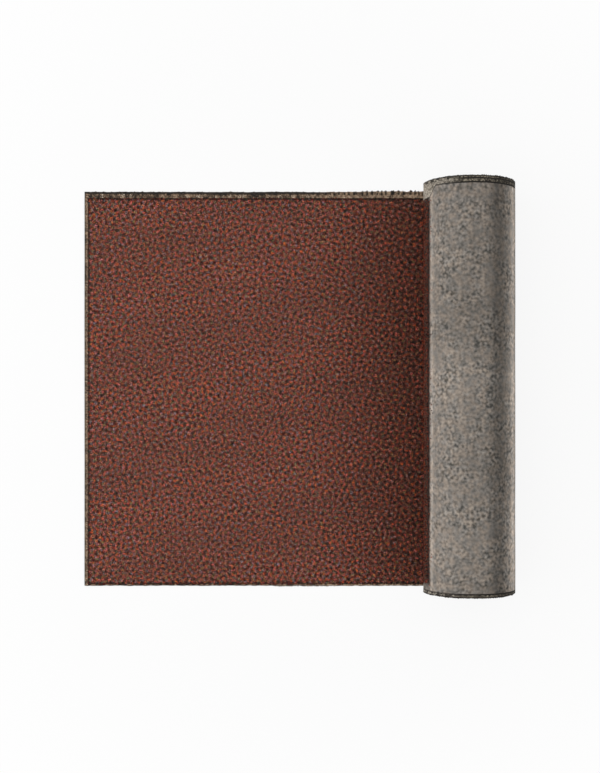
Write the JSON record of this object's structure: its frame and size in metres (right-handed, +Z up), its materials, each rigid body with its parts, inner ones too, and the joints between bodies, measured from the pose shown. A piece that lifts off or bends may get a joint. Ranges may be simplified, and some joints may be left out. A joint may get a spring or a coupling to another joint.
{
  "type": "roll of roofing felt",
  "caption": "Roll of mineral-faced roofing felt, partly laid out flat with its granules up, running under a wound roll that shows the sanded back and its laps at the ends.",
  "frame": {"origin": "centre of the footprint, on the floor that the felt lies on", "axes": "+X along the laid-out felt towards the roll, +Y along the roll's bore, +Z up"},
  "size_m": [1.0723, 1, 0.2248],
  "materials": {
    "felt": "matt bitumen felt, red-brown mineral granules on the face and grey sand on the back"
  },
  "bodies": {
    "root": {"roofing_felt": "felt"}
  },
  "joints": []
}
